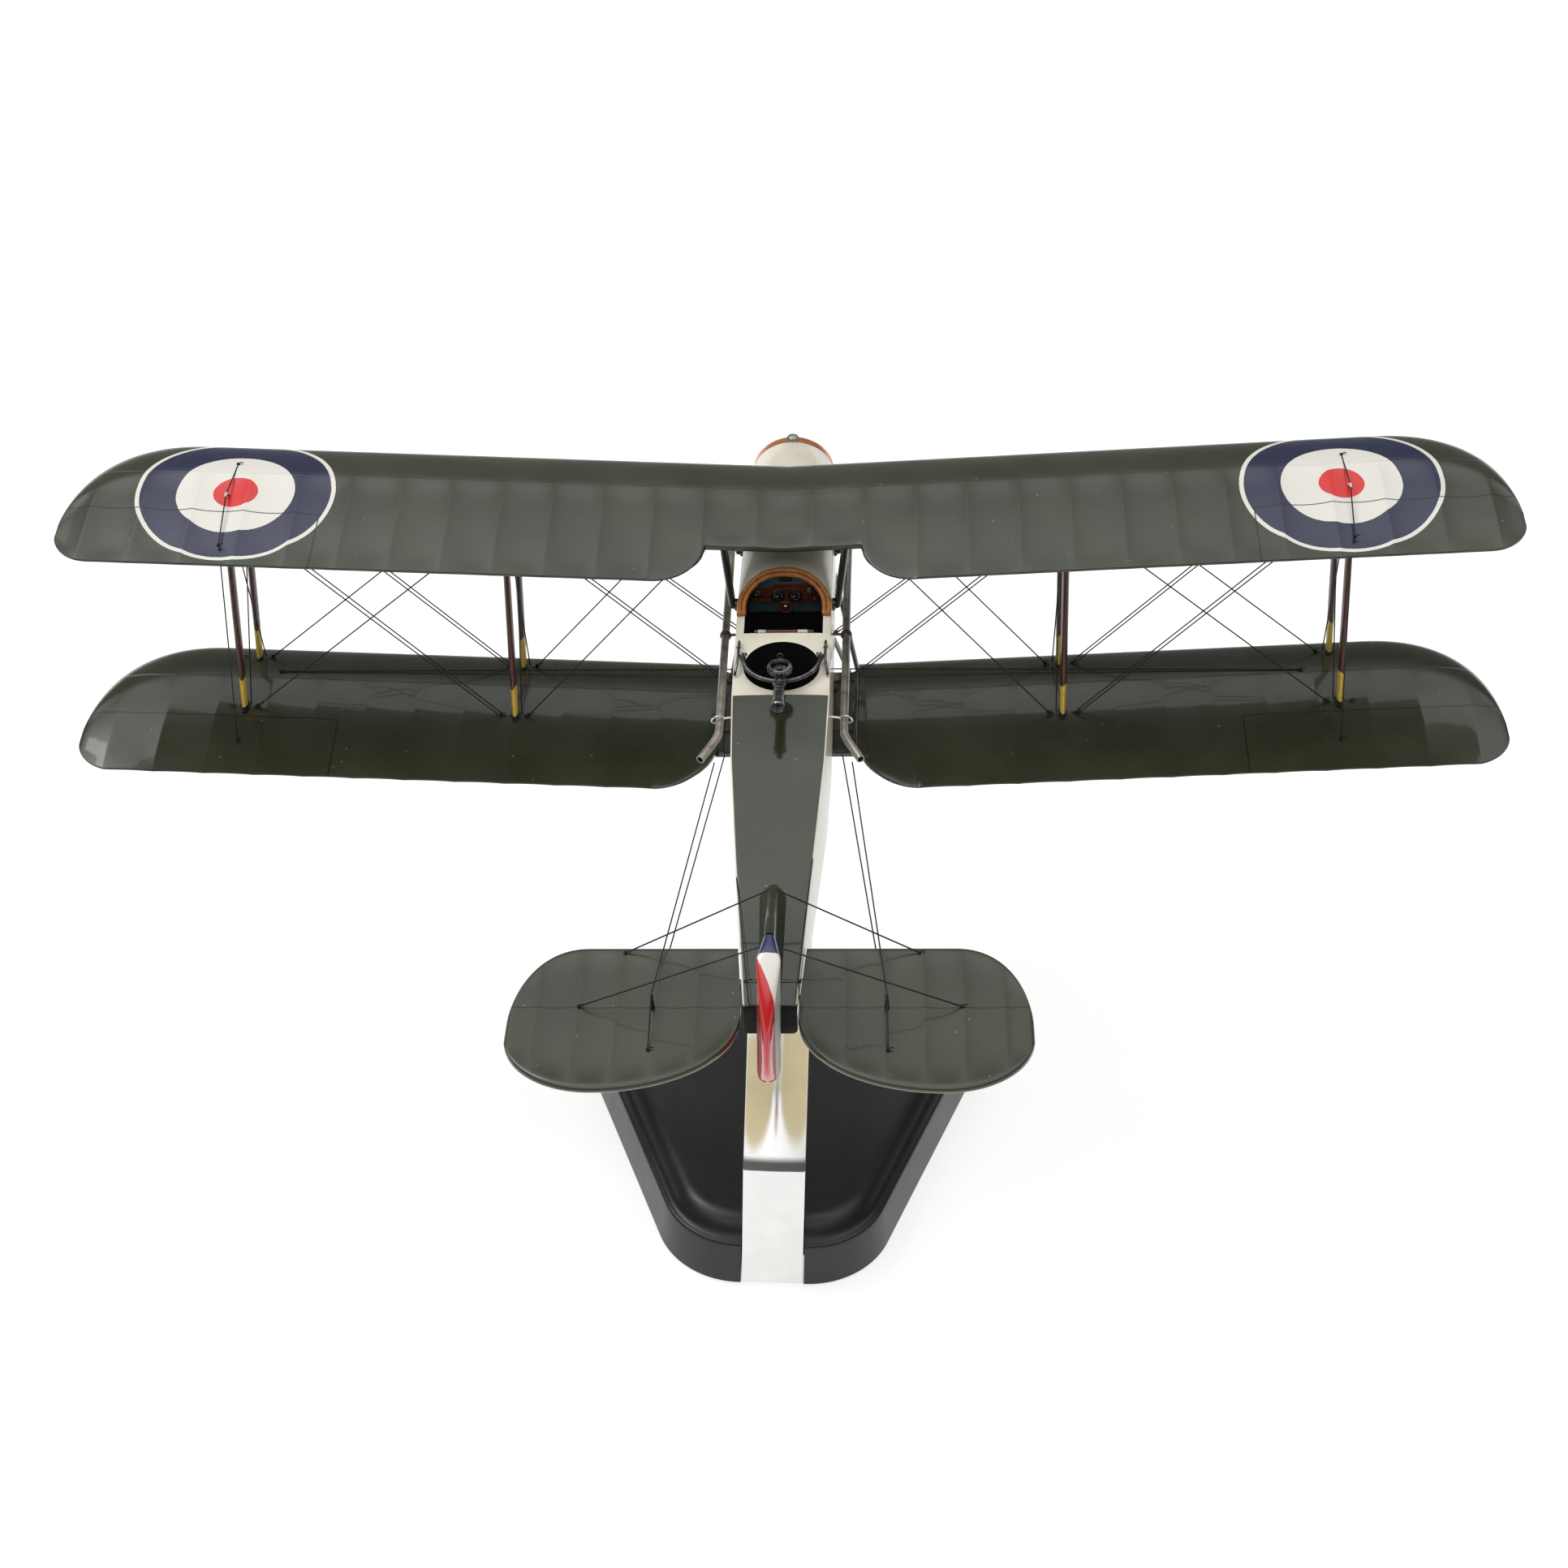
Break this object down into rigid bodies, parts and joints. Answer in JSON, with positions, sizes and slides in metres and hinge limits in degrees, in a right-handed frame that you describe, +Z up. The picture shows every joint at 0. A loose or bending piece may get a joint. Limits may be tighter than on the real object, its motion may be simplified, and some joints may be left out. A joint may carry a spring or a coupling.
{
  "type": "propeller plane display model",
  "caption": "Two-seat biplane display model with wire-braced wings, carried on a bent metal strip above a rounded triangular base.",
  "frame": {"origin": "on the underside of the base, on its centre line, between its rear slot and its front edge", "axes": "+X to the aircraft's starboard side, +Y towards its nose, +Z up"},
  "size_m": [0.5014, 0.3272, 0.2546],
  "materials": {
    "olive_lacquer": "high gloss dark olive lacquer over wood",
    "striped_lacquer": "gloss lacquer with blue, white and red stripes",
    "cream_and_olive_paint": "satin cream paint, gloss olive on the aft deck",
    "copper_paint": "copper coloured enamel",
    "dark_metal": "dark satin paint",
    "polished_metal": "polished",
    "mahogany": "varnished mahogany",
    "steel": "satin",
    "tan_leather": "padded, glossy",
    "panel_paint": "blue grey paint with a red-brown board",
    "brown_leather": "satin",
    "gunmetal": "drybrushed metallic paint",
    "exhaust_metal": "metallic beige-silver paint",
    "dark_green_metal": "dark green gloss paint",
    "cream_cover": "satin cream paint",
    "tyre_rubber": "matt grey rubber",
    "black_thread": "waxed thread pulled taut",
    "black_lacquer": "satin black lacquer on a moulded base",
    "polished_aluminium": "mirror polished flat strip"
  },
  "bodies": {
    "airframe": {"axle": "steel", "axle_fairing": "olive_lacquer", "base": "black_lacquer", "base_screw_front": "steel", "base_screw_rear": "steel", "belly_screw_front": "steel", "belly_screw_rear": "steel", "cabane_front_left": "dark_green_metal", "cabane_front_right": "dark_green_metal", "cabane_rear_left": "dark_green_metal", "cabane_rear_right": "dark_green_metal", "coaming": "tan_leather", "control_column": "dark_metal", "exhaust_left": "exhaust_metal", "exhaust_right": "exhaust_metal", "filler_cap": "polished_metal", "fin": "olive_lacquer", "fuselage": "cream_and_olive_paint", "gear_left": "mahogany", "gear_right": "mahogany", "gunner_seat": "brown_leather", "hoop_bracket_left": "steel", "hoop_bracket_right": "steel", "instrument_panel": "panel_paint", "lower_centre_frame": "dark_green_metal", "lower_wing_left": "olive_lacquer", "lower_wing_right": "olive_lacquer", "pilot_seat": "brown_leather", "radiator_core": "dark_metal", "radiator_cowl": "copper_paint", "rigging_inner_left": "black_thread", "rigging_inner_right": "black_thread", "rigging_outer_left": "black_thread", "rigging_outer_right": "black_thread", "rudder": "striped_lacquer", "stand_strip": "polished_aluminium", "strut_inner_front_left": "mahogany", "strut_inner_front_right": "mahogany", "strut_inner_rear_left": "mahogany", "strut_inner_rear_right": "mahogany", "strut_outer_front_left": "mahogany", "strut_outer_front_right": "mahogany", "strut_outer_rear_left": "mahogany", "strut_outer_rear_right": "mahogany", "tail_skid": "mahogany", "tailplane_left": "olive_lacquer", "tailplane_right": "olive_lacquer", "upper_wing": "olive_lacquer"},
    "propeller_group": {"propeller": "mahogany", "propeller_boss": "polished_metal", "propeller_shaft": "steel"},
    "wheel_left_group": {"wheel_left": "cream_cover", "tyre_left": "tyre_rubber"},
    "wheel_right_group": {"wheel_right": "cream_cover", "tyre_right": "tyre_rubber"},
    "hoop_group": {"gun_hoop": "steel"},
    "gun_group": {"gun": "gunmetal", "gun_pintle": "gunmetal", "gun_drum": "gunmetal"}
  },
  "joints": [
    {"name": "propeller_spin", "type": "hinge", "parent": "airframe", "child": "propeller_group", "pos_m": [-0.00075, 0.169, 0.18598], "axis": [0, 1, 0], "continuous": true},
    {"name": "wheel_left_spin", "type": "hinge", "parent": "airframe", "child": "wheel_left_group", "pos_m": [-0.03394, 0.109, 0.11804], "axis": [0.9991, 0, 0.0419], "continuous": true},
    {"name": "wheel_right_spin", "type": "hinge", "parent": "airframe", "child": "wheel_right_group", "pos_m": [0.038, 0.109, 0.12105], "axis": [0.9991, 0, 0.0419], "continuous": true},
    {"name": "hoop_tilt", "type": "hinge", "parent": "airframe", "child": "hoop_group", "pos_m": [-0.00182, 0.0234, 0.21136], "axis": [-0.9991, 0, -0.0419], "range_deg": [0, 50]},
    {"name": "gun_swivel", "type": "hinge", "parent": "hoop_group", "child": "gun_group", "pos_m": [-0.00182, 0.0104, 0.21136], "axis": [-0.0419, 0, 0.9991], "range_deg": [-30, 30]}
  ]
}
